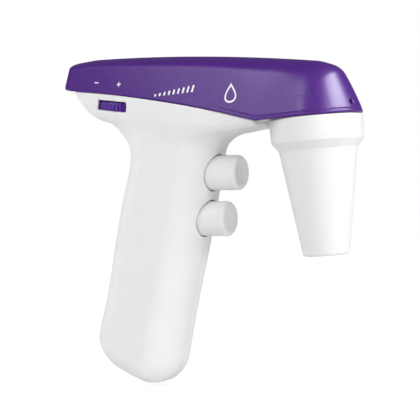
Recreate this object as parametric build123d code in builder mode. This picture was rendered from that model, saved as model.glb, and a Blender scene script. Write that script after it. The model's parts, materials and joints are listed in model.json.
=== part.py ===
from build123d import *
import os
from math import cos, radians, sin, sqrt

os.makedirs("parts", exist_ok=True)

# Motorized pipette controller, pistol form. Millimetres, +Z up along the pipette,
# +X towards the nose. The housing splits on the plane Y = 0 into a left and a right
# shell. Everything is drawn about the centre of the nose seat, where the nose cone
# screws on, and saved with the origin in the middle of the pipette socket below it.

# ---- driving dimensions -------------------------------------------------------------
wall = 2.0  # moulded housing wall
gap = 0.1  # clearance between moulded pieces that don't move
running = 0.05  # radial clearance of every running shaft
socket_span = (-55.0, -43.0)  # heights between which a pipette is gripped

# top cover
cover_front_r = 21.4  # half-round front, at the seat plane
cover_lip_z = 0.15  # underside of the cover around the nose
hull_height = 45.0  # height over which the cover's walls lean in
hull_front_top_r = 5.5
crest_mid = (-57.9, 34.5)
crest_slope = -0.12
crest_bend = -0.00052
cover_edge_r = 1.3
cover_rear_low = -137.3  # rear wall at the seat plane, and where it has leaned in
cover_rear_high = -123.8
status_hole_r = 1.1

# grip and barrel
grip_power = 2.5  # exponent of the grip's oval section
nose_floor_r = 16.9
nose_floor_z = (0.3, 4.5)

# nose cone
collar_top_r = 21.5
collar_low_r = 21.0
collar_z = -10.9
shoulder_r = 17.9
shoulder_z = -14.6
tip_r = 10.6
tip_z = -62.8
thread_r = 18.2  # mean radius of the screw thread, which is left out
cone_wall = 2.0

# finger buttons
button_r = 8.3
button_bore_r = 8.6
button_tilt = 3.9  # degrees that the buttons point down
button_faces = {"aspirate": (-40.2, -22.2), "dispense": (-48.1, -43.5)}
stem_r = 2.0

# speed wheel, seen through a window in each shell
wheel_centre = (-97.3, 14.5)
wheel_tilt = 10.5
wheel_r = 18.0
wheel_thick = 4.0
wheel_ribs = 50
wheel_rib_r = 0.7
window_middle = -1.5  # the window sits a little behind the wheel's centre
window_long = 15.6
window_high = 4.6
window_lip = 0.4

# pump and motor
motor_axis_z = 18.2
motor_r = 9.0
eccentric = 1.0  # crank throw of the pump

# nose spigot, filter and pipette adapter
spigot_post_r = 3.4
spigot_neck_r = 13.0
spigot_flange_r = 15.0
spigot_flange_z = (1.7, 3.3)
filter_post_r = 3.6
nipple_r = 4.0
valve_chamber_r = 6.0
pipette_r = 4.0  # bore that grips a pipette's mouthpiece
nose_barb_z = 7.0

# valve block behind the buttons
block_long = 14.0
block_wide = 20.0
block_high = 38.0
block_centre = (-79.5, 0, -30.7)
block_barb_x = -78.2
block_barb_z = -6.5
seal_places = (-4.6, 4.6)
guide_ends = {"aspirate": -62.9, "dispense": -65.3}
guide_wall = 1.6
boss_end_x = -62.2
stem_grip = 6.0  # length of stem held inside the button

# pump levels: head, valve plate, diaphragm, crankcase
pump_x = (-52.0, -30.0)
pump_half = 10.5
pump_levels = (4.9, 8.6, 9.4, 10.2)
crankcase_top = 26.2
pump_barb_z = 6.8
pump_screw_places = [(-50.2, 8.8), (-50.2, -8.8), (-31.8, 8.8), (-31.8, -8.8)]
rod_x = -44.5
motor_shaft_r = 1.0
motor_rear_x = -77.0
motor_screw_y = 5.5

# electronics
board_low = 8.3  # underside of the circuit board above the wheel's middle plane
pot_shaft_r = 1.5
board_thick = 1.6
board_parts = [(-8, 0, 8, 8, 1.2), (6, 6, 5, 4, 1.0), (7, -6, 6, 3, 1.6), (-16, 7, 3, 3, 1.0)]
socket_mouth = -32.1  # rear end of the charging socket along the board
status_y = -3.9
status_z = 5.0
lead_r = 0.5

# cells in the grip
cell_side = 7.0
cell_r = 6.95
cell_long = 49.0
grip_lean = 17.1  # degrees that the grip leans back
cell_top = (-87.9, -54.1)

# hoses
hose_r = 2.1
hose_bore = 1.3
barb_r = 1.25
barb_bore = 0.7
hose_side = 6.5  # sideways place of the pump's two hoses

screw_places = [(-104.5, -56), (-79.5, -80), (-99.5, -115), (-57.5, -8), (-93.5, -3)]
screw_r = 1.25
screw_head_r = 2.3
screw_head_high = 1.6
screw_head_y = 8.0
boss_r = 3.2

# ---- shared planes and outlines -----------------------------------------------------
tilt_cos, tilt_sin = cos(radians(button_tilt)), sin(radians(button_tilt))
wheel_cos, wheel_sin = cos(radians(wheel_tilt)), sin(radians(wheel_tilt))
lean_cos, lean_sin = cos(radians(grip_lean)), sin(radians(grip_lean))


def wheel_plane(height=0.0):
    """Plane across the speed wheel's axle, raised along the axle."""
    origin = (
        wheel_centre[0] + height * wheel_sin,
        0,
        wheel_centre[1] + height * wheel_cos,
    )
    return Plane(
        origin=origin, x_dir=(wheel_cos, 0, -wheel_sin), z_dir=(wheel_sin, 0, wheel_cos)
    )


def button_plane(which, depth=0.0):
    """Plane across a button's axis, a depth behind the centre of its end face."""
    x, z = button_faces[which]
    origin = (x - depth * tilt_cos, 0, z + depth * tilt_sin)
    return Plane(origin=origin, x_dir=(0, 1, 0), z_dir=(tilt_cos, 0, -tilt_sin))


def button_profile_plane(which):
    """Plane for turned profiles: x is the radius and y runs out along the button."""
    x, z = button_faces[which]
    return Plane(origin=(x, 0, z), x_dir=(0, 1, 0), z_dir=(-tilt_sin, 0, -tilt_cos))


def button_axis(which):
    x, z = button_faces[which]
    return Axis((x, 0, z), (tilt_cos, 0, -tilt_sin))


def depth_at(which, x):
    """Depth behind the button's end face at which its axis crosses a given x."""
    return (button_faces[which][0] - x) / tilt_cos


def cell_plane(drop=0.0):
    """Plane across the cells, a drop down the leaning grip from their top."""
    origin = (cell_top[0] - drop * lean_sin, 0, cell_top[1] - drop * lean_cos)
    return Plane(
        origin=origin, x_dir=(lean_cos, 0, -lean_sin), z_dir=(lean_sin, 0, lean_cos)
    )


def crest(x):
    """Height of the cover's crest line above the seat plane."""
    run = x - crest_mid[0]
    return crest_mid[1] + crest_slope * run + crest_bend * run**2


def plan_outline(height, front_r, mid, rear, corner_r):
    """Cover outline: half-round front, bowed sides and a rounded rear end."""
    with BuildSketch(Plane.XY.offset(height)) as outline:
        with BuildLine():
            ThreePointArc((0, -front_r), (front_r, 0), (0, front_r))
            ThreePointArc((0, front_r), mid, rear)
            Line(rear, (rear[0], -rear[1]))
            ThreePointArc((rear[0], -rear[1]), (mid[0], -mid[1]), (0, -front_r))
        make_face()
        fillet(outline.vertices().group_by(Axis.X)[0], corner_r)
    return outline.sketch


def hull_outlines(inset):
    """Lowest and highest outline of the cover's leaning walls, drawn in by the inset."""
    low = plan_outline(
        0,
        cover_front_r - inset,
        (-76, 21.7 - inset),
        (cover_rear_low + inset, 17.4 - inset),
        6,
    )
    high = plan_outline(
        hull_height,
        hull_front_top_r - inset,
        (-60, 10.4 - inset),
        (cover_rear_high + inset, 12.4 - inset),
        3,
    )
    return [low, high]


def crown_sections(drop):
    """Cross-sections of the cover's domed top, lowered by the drop."""
    stations = ((-140, 29.0), (-60, 24.0), (0, 19.6), (26, 19.3))
    half, brim, foot = 16.0, 27.0, -70.0
    sections = []
    for x, radius in stations:
        top = crest(x) - drop
        edge = top - radius + sqrt(radius**2 - half**2)
        with BuildSketch(Plane.YZ.offset(x)) as section:
            with BuildLine():
                ThreePointArc((-half, edge), (0, top), (half, edge))
                Polyline(
                    (half, edge),
                    (brim, edge - 9),
                    (brim, foot),
                    (-brim, foot),
                    (-brim, edge - 9),
                    (-half, edge),
                )
            make_face()
        sections.append(section.sketch)
    return sections


def above_parting(lift=0.0):
    """Side view of everything above the line where cover and body meet."""
    with BuildSketch(Plane.XZ) as region:
        with BuildLine():
            ThreePointArc((-130, 25.6 + lift), (-76.5, 15.5 + lift), (-21.5, 0.6 + lift))
            Polyline(
                (-21.5, 0.6 + lift),
                (-19.5, cover_lip_z + lift),
                (40, cover_lip_z + lift),
                (40, 70),
                (-130, 70),
                (-130, 25.6 + lift),
            )
        make_face()
    return region.sketch


def barrel_side(inset):
    """Side view of the white barrel, carried on above the parting line."""
    stern = [(-124.3, 25), (-121.8, 20), (-117.6, 13.9), (-111.7, 10.7), (-105, 8.8)]
    stern = [(x + 0.8 * inset, z + 0.7 * inset) for x, z in stern]
    under = [(-92, 2.5), (-62, -1.5), (-46, -3.6), (-23.4, -2.1)]
    under = [(x, z + 1.02 * inset) for x, z in under]
    with BuildSketch(Plane.XZ) as side:
        with BuildLine():
            Spline(*stern)
            Polyline(stern[-1], *under[:-1], (under[-1][0] - inset, under[-1][1]))
            Polyline(
                (under[-1][0] - inset, under[-1][1]),
                (-22.6 - inset, 12),
                (stern[0][0], 36),
                stern[0],
            )
        make_face()
    return side.sketch


def barrel_plan(inset):
    """Plan view of the white barrel."""
    front = (-22.6 - inset, 19.6 - inset)
    mid = (-76, 18.15 - inset)
    rear = (-124.3 + inset, 15.1 - inset)
    with BuildSketch(Plane.XY.offset(-20)) as plan:
        with BuildLine():
            ThreePointArc(front, mid, rear)
            Line(rear, (rear[0], -rear[1]))
            ThreePointArc((rear[0], -rear[1]), (mid[0], -mid[1]), (front[0], -front[1]))
            Line((front[0], -front[1]), front)
        make_face()
        fillet(plan.vertices().group_by(Axis.X)[0], 9 - inset)
    return plan.sketch


# height, rear x, front x and half-width of the grip, from the barrel to the butt
grip_stations = [
    (9.0, -105.0, -50.5, 16.4),
    (-5.0, -99.2, -49.6, 16.8),
    (-18.0, -99.5, -52.8, 17.2),
    (-48.3, -109.2, -61.8, 17.6),
    (-78.0, -118.3, -71.4, 17.6),
    (-95.0, -124.3, -76.6, 17.5),
    (-104.0, -123.6, -79.2, 16.7),
    (-111.5, -116.3, -81.5, 14.2),
    (-117.5, -105.4, -85.9, 9.6),
    (-121.7, -97.5, -91.2, 3.4),
]


def oval(height, rear, front, half_width, inset):
    """Closed oval across the grip, flatter-sided than an ellipse."""
    centre = (rear + front) / 2
    half_depth = (front - rear) / 2 - inset
    half = half_width - inset
    points = []
    for turn in range(0, 360, 20):
        c, s = cos(radians(turn)), sin(radians(turn))
        x = centre + half_depth * abs(c) ** (2 / grip_power) * (1 if c > 0 else -1)
        y = half * abs(s) ** (2 / grip_power) * (1 if s > 0 else -1)
        points.append((x, y))
    with BuildSketch(Plane.XY.offset(height)) as section:
        with BuildLine():
            Spline(*points, periodic=True)
        make_face()
    return section.sketch


def grip_sections(inset):
    """Ovals down the grip. The inside ends higher, which leaves a floor in the butt."""
    stations = grip_stations if inset == 0 else grip_stations[:-1]
    sections = []
    for height, rear, front, half in stations:
        lift = 0.8 * inset if height < -100 else 0
        sections.append(oval(height + lift, rear, front, half, inset))
    return sections


def body_form(inset):
    """Outside of the white body, or its inside when an inset is given."""
    with BuildPart() as form:
        extrude(barrel_side(inset), amount=30, both=True)
        extrude(barrel_plan(inset), amount=70, mode=Mode.INTERSECT)
        loft(grip_sections(inset))
    return form.part


def save(builder, label):
    """Writes a piece with the origin in the middle of the pipette socket."""
    piece = builder.part.moved(Location((0, 0, -sum(socket_span) / 2)))
    piece.label = label
    export_step(piece, f"parts/{label}.step")


# ---- housing ------------------------------------------------------------------------
def make_top_cover():
    with BuildPart() as inside:
        loft(hull_outlines(wall), ruled=True)
        loft(crown_sections(wall + 0.2), mode=Mode.INTERSECT)
    with BuildPart() as top_cover:
        loft(hull_outlines(0), ruled=True)
        loft(crown_sections(0), mode=Mode.INTERSECT)
        fillet(top_cover.faces().sort_by(Axis.Z)[-1].edges(), cover_edge_r)
        extrude(above_parting(), amount=30, both=True, mode=Mode.INTERSECT)
        add(inside.part, mode=Mode.SUBTRACT)
        # slot for the charging socket at the rear
        with BuildSketch(wheel_plane(11.5)):
            with Locations((socket_mouth, 0)):
                Rectangle(14, 9.6)
        extrude(amount=1.9, both=True, mode=Mode.SUBTRACT)
        # window of the status light, low on the front
        with BuildSketch(Plane.YZ.offset(10)):
            with Locations((status_y, status_z)):
                Circle(status_hole_r)
        extrude(amount=14, mode=Mode.SUBTRACT)
    save(top_cover, "top_cover")


def make_shells():
    with BuildPart() as ribs:
        # guide tubes of the buttons
        for which, end_x in guide_ends.items():
            with BuildSketch(button_plane(which, depth_at(which, end_x))):
                Circle(button_bore_r + guide_wall)
            extrude(amount=25)
        # screw bosses right across the body
        with BuildSketch(Plane.XZ):
            with Locations(*screw_places):
                Circle(boss_r)
        extrude(amount=25, both=True)
        add(body_form(0), mode=Mode.INTERSECT)
    # room for the wheel, kept inside a thin lip round each window
    with BuildPart() as wheel_pocket:
        with BuildSketch(wheel_plane(-window_high / 2)):
            Circle(wheel_r + 0.35)
        extrude(amount=window_high)
        add(body_form(window_lip), mode=Mode.INTERSECT)
    with BuildPart() as housing:
        add(body_form(0))
        add(body_form(wall), mode=Mode.SUBTRACT)
        add(ribs.part)
        # open top where the cover sits
        extrude(above_parting(-gap), amount=40, both=True, mode=Mode.SUBTRACT)
        # floor of the nose, inside the cover, that carries the spigot
        with BuildSketch(Plane.XY.offset(nose_floor_z[0])):
            Circle(nose_floor_r)
            with Locations((-14, 0)):
                Rectangle(21, 26)
        extrude(amount=nose_floor_z[1] - nose_floor_z[0])
        with BuildSketch(Plane.XY.offset(nose_floor_z[0])):
            Circle(spigot_neck_r + gap)
        extrude(amount=10, mode=Mode.SUBTRACT)
        with BuildSketch(Plane.XY.offset(spigot_flange_z[0] - gap)):
            Circle(spigot_flange_r + gap)
        extrude(amount=spigot_flange_z[1] - spigot_flange_z[0] + 2 * gap, mode=Mode.SUBTRACT)
        with BuildSketch(Plane.XY.offset(3.45)):
            with Locations((15.5, status_y)):
                Rectangle(6, 4)
        extrude(amount=3, mode=Mode.SUBTRACT)
        # button bores
        for which, end_x in guide_ends.items():
            with BuildSketch(button_plane(which, depth_at(which, end_x - 1))):
                Circle(button_bore_r)
            extrude(amount=30, mode=Mode.SUBTRACT)
            # room behind the guide for the button's flange
            with BuildSketch(button_plane(which, depth_at(which, end_x - 8))):
                Circle(button_r + 1.6)
            extrude(amount=8 / tilt_cos, mode=Mode.SUBTRACT)
        # slot in the nose floor for the hose
        with BuildSketch(Plane.XY.offset(nose_floor_z[0] - 0.05)):
            with Locations((-20.5, 0)):
                Rectangle(9, 5.2)
        extrude(amount=6, mode=Mode.SUBTRACT)
        add(wheel_pocket.part, mode=Mode.SUBTRACT)
        # windows of the speed wheel
        with BuildSketch(wheel_plane(-window_high / 2)):
            with Locations((window_middle, 0)):
                Rectangle(window_long, 60)
        extrude(amount=window_high, mode=Mode.SUBTRACT)
        # screw holes: pilot right across, then the head pocket from the left
        with BuildSketch(Plane.XZ):
            with Locations(*screw_places):
                Circle(screw_r + running)
        extrude(amount=screw_head_y + 1, both=True, mode=Mode.SUBTRACT)
        with BuildSketch(Plane.XZ.offset(-screw_head_y)):
            with Locations(*screw_places):
                Circle(boss_r - 0.4)
        extrude(amount=-20, mode=Mode.SUBTRACT)
    with BuildPart() as grip_shell_left:
        add(housing.part)
        split(bisect_by=Plane.XZ.offset(-gap / 4), keep=Keep.BOTTOM)
    save(grip_shell_left, "grip_shell_left")
    with BuildPart() as grip_shell_right:
        add(housing.part)
        split(bisect_by=Plane.XZ.offset(gap / 4), keep=Keep.TOP)
    save(grip_shell_right, "grip_shell_right")


def make_housing_screws():
    with BuildPart() as housing_screws:
        with BuildSketch(Plane.XZ.offset(-screw_head_y)):
            with Locations(*screw_places):
                Circle(screw_r)
        extrude(amount=2 * screw_head_y)
        with BuildSketch(Plane.XZ.offset(-screw_head_y)):
            with Locations(*screw_places):
                Circle(screw_head_r)
        extrude(amount=-screw_head_high)
        # cross recess
        with BuildSketch(Plane.XZ.offset(-screw_head_y - screw_head_high)):
            with Locations(*screw_places):
                Rectangle(2.6, 0.6)
                Rectangle(0.6, 2.6)
        extrude(amount=1.0, mode=Mode.SUBTRACT)
    save(housing_screws, "housing_screws")


# ---- nose ---------------------------------------------------------------------------
def turned(points):
    """Solid of revolution about the nose axis, from corners (radius, height)."""
    with BuildPart() as part:
        with BuildSketch(Plane.XZ):
            with BuildLine():
                Polyline(*points, close=True)
            make_face()
        revolve(axis=Axis.Z)
    return part.part


def make_adapter_housing():
    cone = (shoulder_r - tip_r) / (shoulder_z - tip_z)
    inner_top_z = shoulder_z - 2.4
    inner_top_r = shoulder_r - cone_wall - cone * 2.4
    corners = [
        (thread_r + 0.1, 0),
        (collar_top_r, 0),
        (collar_low_r, collar_z),
        (shoulder_r, shoulder_z),
        (tip_r, tip_z),
        (tip_r - cone_wall, tip_z),
        (inner_top_r, inner_top_z),
        (thread_r + 0.1, collar_z - 1.4),
    ]
    with BuildPart() as adapter_housing:
        add(turned(corners))
        rims = adapter_housing.edges().filter_by(GeomType.CIRCLE)
        fillet(rims.filter_by_position(Axis.Z, -0.01, 0.01).sort_by(SortBy.RADIUS)[-1], 0.7)
        rims = adapter_housing.edges().filter_by(GeomType.CIRCLE)
        tips = rims.filter_by_position(Axis.Z, tip_z - 0.01, tip_z + 0.01)
        fillet(tips.sort_by(SortBy.RADIUS)[-1], 1.3)
        rims = adapter_housing.edges().filter_by(GeomType.CIRCLE)
        shoulders = rims.filter_by_position(Axis.Z, shoulder_z - 0.01, collar_z + 0.01)
        fillet(shoulders.filter_by(lambda e: e.radius > shoulder_r - 0.1), 1.0)
    save(adapter_housing, "adapter_housing")


def make_nose_spigot():
    low, high = spigot_flange_z
    groove = (-1.0, -2.7)
    corners = [
        (0, 9.4),
        (spigot_post_r, 9.4),
        (spigot_post_r, high),
        (spigot_flange_r, high),
        (spigot_flange_r, low),
        (spigot_neck_r, low),
        (spigot_neck_r, 0.15),
        (thread_r - 0.3, 0.15),
        (thread_r - 0.3, groove[0]),
        (thread_r - 1.6, groove[0]),
        (thread_r - 1.6, groove[1]),
        (thread_r - 0.3, groove[1]),
        (thread_r - 0.3, -9.5),
        (14.5, -9.5),
        (14.5, -2.5),
        (filter_post_r, -2.5),
        (filter_post_r, -10),
        (0, -10),
    ]
    with BuildPart() as nose_spigot:
        add(turned(corners))
        # hose barb that points back along the barrel
        with BuildSketch(Plane.YZ.offset(-9)):
            with Locations((0, nose_barb_z)):
                Circle(barb_r)
        extrude(amount=8)
        with BuildSketch(Plane.YZ.offset(-9)):
            with Locations((0, nose_barb_z)):
                Circle(barb_bore)
        extrude(amount=9, mode=Mode.SUBTRACT)
        with BuildSketch(Plane.XY.offset(-10)):
            Circle(1.2)
        extrude(amount=10 + nose_barb_z, mode=Mode.SUBTRACT)
    save(nose_spigot, "nose_spigot")


def make_nose_o_ring():
    with BuildPart() as nose_o_ring:
        with BuildSketch(Plane.XZ):
            with Locations((thread_r - 0.75, -1.85)):
                Circle(0.8)
        revolve(axis=Axis.Z)
    save(nose_o_ring, "nose_o_ring")


def make_filter():
    top = [(3.65, -4), (5.2, -4), (5.2, -10.5), (12.4, -12), (12.4, -14.5)]
    top += [(10.6, -14.5), (10.6, -13.3), (3.65, -11.8)]
    with BuildPart() as filter_case_top:
        add(turned(top))
    save(filter_case_top, "filter_case_top")
    bottom = [(10.6, -14.7), (12.4, -14.7), (12.4, -17.2), (nipple_r, -19.2)]
    bottom += [(nipple_r, -27), (1.5, -27), (1.5, -18), (10.6, -15.9)]
    with BuildPart() as filter_case_bottom:
        add(turned(bottom))
    save(filter_case_bottom, "filter_case_bottom")
    with BuildPart() as filter_membrane:
        with BuildSketch(Plane.XY.offset(-14.7)):
            Circle(12.2)
        extrude(amount=0.2)
    save(filter_membrane, "filter_membrane")


def make_pipette_adapter():
    corners = [
        (nipple_r + running, -20),
        (10.5, -20),
        (10.5, -28),
        (8.4, -56),
        (7.9, -61.5),
        (5.4, -61.5),
        (pipette_r, socket_span[0]),
        (pipette_r, socket_span[1]),
        (2.2, -42.6),
        (2.2, -41),
        (valve_chamber_r, -41),
        (valve_chamber_r, -29),
        (nipple_r + running, -29),
    ]
    with BuildPart() as pipette_adapter:
        add(turned(corners))
    save(pipette_adapter, "pipette_adapter")


def make_check_valve():
    corners = [
        (1.4, -30),
        (valve_chamber_r - running, -30),
        (valve_chamber_r - running, -32),
        (4.2, -32.6),
        (2.6, -38.5),
        (0.9, -40.4),
        (0.5, -40.4),
        (1.4, -37),
    ]
    with BuildPart() as check_valve:
        add(turned(corners))
    save(check_valve, "check_valve")


# ---- buttons and valves -------------------------------------------------------------
def make_buttons():
    for which, end_x in guide_ends.items():
        flange_front = depth_at(which, end_x - gap)
        inner_end = flange_front + 1.2
        boss_end = depth_at(which, boss_end_x)
        with BuildPart() as button:
            with BuildSketch(button_profile_plane(which)):
                with BuildLine():
                    dish = ThreePointArc((0, -1.0), (3.4, -0.78), (6.5, -0.1))
                    rim = JernArc(dish @ 1, (1, 0.12), 1.75, -95)
                    Polyline(
                        rim @ 1,
                        (button_r, -4),
                        (button_r, -flange_front),
                        (button_r + 1.2, -flange_front),
                        (button_r + 1.2, -inner_end),
                        (6.8, -inner_end),
                        (6.8, -3),
                        (3.6, -3),
                        (3.6, -boss_end),
                        (stem_r, -boss_end),
                        (stem_r, -boss_end + stem_grip),
                        (0, -boss_end + stem_grip),
                        (0, -1.0),
                    )
                make_face()
            revolve(axis=button_axis(which))
        save(button, f"{which}_button")
        with BuildPart() as stem:
            with BuildSketch(button_plane(which, stem_tip_depth(which))):
                Circle(stem_r)
            extrude(amount=stem_tip_depth(which) - boss_end + stem_grip)
            chamfer(stem.edges().sort_by(Axis.X)[0], 0.4)
        save(stem, f"{which}_stem")
        spring_end = block_depth(which, block_long / 2) - 0.35
        with BuildPart() as spring:
            with BuildLine() as coil:
                Helix(
                    pitch=1.55,
                    height=spring_end - boss_end - 0.35,
                    radius=2.9,
                    center=button_plane(which, spring_end).origin,
                    direction=button_axis(which).direction,
                )
            with BuildSketch(Plane(origin=coil.line @ 0, z_dir=coil.line % 0)):
                Circle(0.28)
            sweep(is_frenet=True)
        save(spring, f"{which}_spring")
        with BuildPart() as seals:
            for x in seal_places:
                height = -block_depth(which, x)
                with BuildSketch(button_profile_plane(which)):
                    with Locations((stem_r + 0.66, height)):
                        Circle(0.6)
                revolve(axis=button_axis(which))
        save(seals, f"{which}_stem_seals")


def block_plane():
    """Plane along the valve block's middle: x runs out towards the buttons."""
    return Plane(
        origin=block_centre,
        x_dir=(tilt_cos, 0, -tilt_sin),
        z_dir=(tilt_sin, 0, tilt_cos),
    )


def block_depth(which, local_x):
    """Depth behind a button's end face at a distance along the valve block."""
    x, z = button_faces[which]
    run = (x - block_centre[0]) * tilt_cos - (z - block_centre[2]) * tilt_sin
    return run - local_x


def stem_tip_depth(which):
    return block_depth(which, -block_long / 2 + gap)


def bore_level(which):
    """Height of a button's axis above the middle of the valve block."""
    x, z = button_faces[which]
    return (x - block_centre[0]) * tilt_sin + (z - block_centre[2]) * tilt_cos


def make_valve_block():
    with BuildPart() as valve_block:
        with BuildSketch(block_plane().offset(-block_high / 2)):
            RectangleRounded(block_long, block_wide, 1.5)
        extrude(amount=block_high)
        # hose barbs on top
        with BuildSketch(Plane.XY.offset(block_barb_z - 7)):
            with Locations(*[(block_barb_x, side * hose_side) for side in (-1, 0, 1)]):
                Circle(barb_r)
        extrude(amount=7)
        for side, floor_z in ((-1, -42.5), (0, -42.5), (1, -20.5)):
            with BuildSketch(Plane.XY.offset(floor_z)):
                with Locations((block_barb_x, side * hose_side)):
                    Circle(barb_bore)
            extrude(amount=block_barb_z - floor_z, mode=Mode.SUBTRACT)
        for which, side in (("aspirate", 1), ("dispense", -1)):
            # bore of the stem with a groove for each seal
            with BuildSketch(button_plane(which, block_depth(which, -block_long))):
                Circle(stem_r + running)
            extrude(amount=2 * block_long, mode=Mode.SUBTRACT)
            for x in seal_places:
                with BuildSketch(button_plane(which, block_depth(which, x - 0.65))):
                    Circle(stem_r + 1.3)
                extrude(amount=1.3, mode=Mode.SUBTRACT)
            # cross drilling from the pump's passage to the stem
            cross_z = block_centre[2] + bore_level(which)
            with BuildSketch(Plane.XZ):
                with Locations((block_barb_x, cross_z)):
                    Circle(0.55)
            extrude(amount=-side * hose_side, mode=Mode.SUBTRACT)
    save(valve_block, "valve_block")


def make_switch_board():
    board_x = -block_long / 2 - 9.6
    with BuildPart() as switch_board:
        with BuildSketch(block_plane().offset(-16)):
            with Locations((board_x, 0)):
                Rectangle(1.2, 10)
        extrude(amount=32)
    save(switch_board, "switch_board")
    with BuildPart() as motor_switches:
        for which in button_faces:
            with BuildSketch(button_plane(which, block_depth(which, board_x + 0.6))):
                Rectangle(6, 6)
            extrude(amount=3.4)
            with BuildSketch(button_plane(which, block_depth(which, board_x + 4.0))):
                Circle(1.5)
            extrude(amount=0.5)
    save(motor_switches, "motor_switches")


def hose(points, bend):
    """Round hose along a path of straight runs joined by bends."""
    with BuildPart() as tube:
        with BuildLine() as path:
            FilletPolyline(*points, radius=bend)
        with BuildSketch(Plane(origin=path.line @ 0, z_dir=path.line % 0)):
            Circle(hose_r)
            Circle(hose_bore, mode=Mode.SUBTRACT)
        sweep()
    return tube


def make_hoses():
    low_z = block_barb_z - 4.9
    pump_end = pump_x[0] - 0.2
    for label, y in (("suction_hose", hose_side), ("pressure_hose", -hose_side)):
        corners = [
            (block_barb_x, y, low_z),
            (block_barb_x, y, pump_barb_z),
            (pump_end, y, pump_barb_z),
        ]
        save(hose(corners, 6), label)
    nose_run = [
        (block_barb_x, 0, low_z),
        (block_barb_x, 0, 2.5),
        (-29, 0, 2.5),
        (-19, 0, nose_barb_z),
        (-spigot_post_r - 0.2, 0, nose_barb_z),
    ]
    save(hose(nose_run, 5), "nose_hose")


# ---- pump ---------------------------------------------------------------------------
def pump_plate(low, high, chamfered=False):
    """Block with the pump's outline between two heights."""
    long = pump_x[1] - pump_x[0]
    with BuildPart() as plate:
        with BuildSketch(Plane.XY.offset(low)):
            with Locations(((pump_x[0] + pump_x[1]) / 2, 0)):
                Rectangle(long, 2 * pump_half)
        extrude(amount=high - low)
        if chamfered:
            chamfer(plate.edges().filter_by(Axis.X).group_by(Axis.Z)[-1], 3.6)
    return plate.part


def drill(places, radius, low, high):
    """Pins that stand for round holes or screws, between two heights."""
    with BuildPart() as pins:
        with BuildSketch(Plane.XY.offset(low)):
            with Locations(*places):
                Circle(radius)
        extrude(amount=high - low)
    return pins.part


def along_x(radius, low, high, height=None, y=0.0):
    """Round bar along the barrel."""
    with BuildPart() as bar:
        with BuildSketch(Plane.YZ.offset(low)):
            with Locations((y, motor_axis_z if height is None else height)):
                Circle(radius)
        extrude(amount=high - low)
    return bar.part


def make_pump():
    head_low, head_high, plate_high, film_high = pump_levels
    mid = (rod_x, 0)
    with BuildPart() as pump_head:
        add(pump_plate(head_low, head_high))
        for side in (-1, 1):
            y = side * hose_side
            add(along_x(barb_r, pump_x[0] - 5, pump_x[0], pump_barb_z, y))
            add(along_x(barb_bore, pump_x[0] - 5, rod_x, pump_barb_z, y), mode=Mode.SUBTRACT)
            add(drill([(rod_x, y)], barb_bore, pump_barb_z, head_high), mode=Mode.SUBTRACT)
            add(drill([(rod_x, y)], 2.5, head_high - 0.4, head_high), mode=Mode.SUBTRACT)
        add(drill(pump_screw_places, 0.95, head_low, head_high), mode=Mode.SUBTRACT)
    save(pump_head, "pump_head")
    with BuildPart() as pump_flap_valves:
        seats = [(rod_x, hose_side), (rod_x, -hose_side)]
        add(drill(seats, 2.3, head_high - 0.35, head_high - 0.05))
    save(pump_flap_valves, "pump_flap_valves")
    with BuildPart() as pump_valve_plate:
        add(pump_plate(head_high, plate_high))
        add(drill([(rod_x, 5.6), (rod_x, -5.6)], 0.5, head_high, plate_high), mode=Mode.SUBTRACT)
        add(drill([mid], 5.0, plate_high - 0.3, plate_high), mode=Mode.SUBTRACT)
        add(drill(pump_screw_places, 0.95, head_high, plate_high), mode=Mode.SUBTRACT)
    save(pump_valve_plate, "pump_valve_plate")
    with BuildPart() as pump_diaphragm:
        add(pump_plate(plate_high, film_high))
        add(drill([mid], 6.2, plate_high + 0.45, film_high), mode=Mode.SUBTRACT)
        add(drill([mid], 4.0, plate_high, film_high + 0.3))
        add(drill(pump_screw_places, 0.95, plate_high, film_high), mode=Mode.SUBTRACT)
    save(pump_diaphragm, "pump_diaphragm")
    with BuildPart() as pump_crankcase:
        add(pump_plate(film_high, crankcase_top, chamfered=True))
        add(along_x(7.2, pump_x[0] + 1.6, pump_x[1]), mode=Mode.SUBTRACT)
        add(along_x(3.05, pump_x[0], pump_x[1]), mode=Mode.SUBTRACT)
        add(drill([mid], 6.5, film_high, motor_axis_z), mode=Mode.SUBTRACT)
        add(drill(pump_screw_places, 0.95, film_high, film_high + 7), mode=Mode.SUBTRACT)
        for side in (-1, 1):
            hole = along_x(1.05, pump_x[0], pump_x[1], motor_axis_z, side * motor_screw_y)
            add(hole, mode=Mode.SUBTRACT)
    save(pump_crankcase, "pump_crankcase")
    with BuildPart() as crankcase_cover:
        with BuildSketch(Plane.YZ.offset(pump_x[1])):
            with Locations((0, (film_high + crankcase_top) / 2)):
                Rectangle(2 * pump_half, crankcase_top - film_high)
        extrude(amount=1.2)
        chamfer(crankcase_cover.edges().filter_by(Axis.X).group_by(Axis.Z)[-1], 3.6)
        add(along_x(7.1, pump_x[1] - 0.8, pump_x[1]))
    save(crankcase_cover, "crankcase_cover")
    with BuildPart() as pump_screws:
        add(drill(pump_screw_places, 0.9, head_low, film_high + 6.5))
        add(drill(pump_screw_places, 1.6, head_low - 1.0, head_low))
    save(pump_screws, "pump_screws")


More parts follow.
